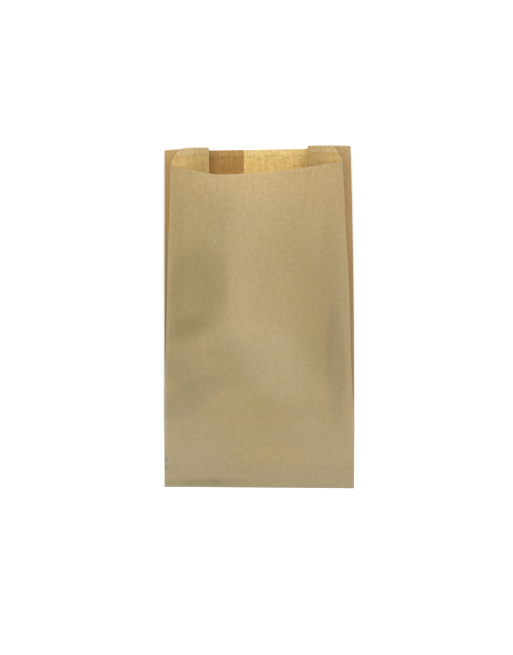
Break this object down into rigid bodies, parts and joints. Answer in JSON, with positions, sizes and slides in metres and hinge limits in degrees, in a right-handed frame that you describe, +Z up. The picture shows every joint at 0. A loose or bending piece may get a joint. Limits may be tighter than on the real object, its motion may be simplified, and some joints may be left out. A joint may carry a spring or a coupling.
{
  "type": "paper bakery bag",
  "caption": "Flat kraft paper bakery bag with side gussets and a low-cut front lip, lying open on its glued back.",
  "frame": {"origin": "centre of the bag's box in plan, at the level of the surface it lies on", "axes": "+Y along the bag from its folded bottom to its mouth, +Z up from the back panel through the front panel, +X across the width to the right as seen from above"},
  "size_m": [0.1404, 0.2516, 0.0756],
  "materials": {
    "kraft": "brown machine-glazed kraft, matt"
  },
  "bodies": {
    "root": {"paper_bag": "kraft"}
  },
  "joints": []
}
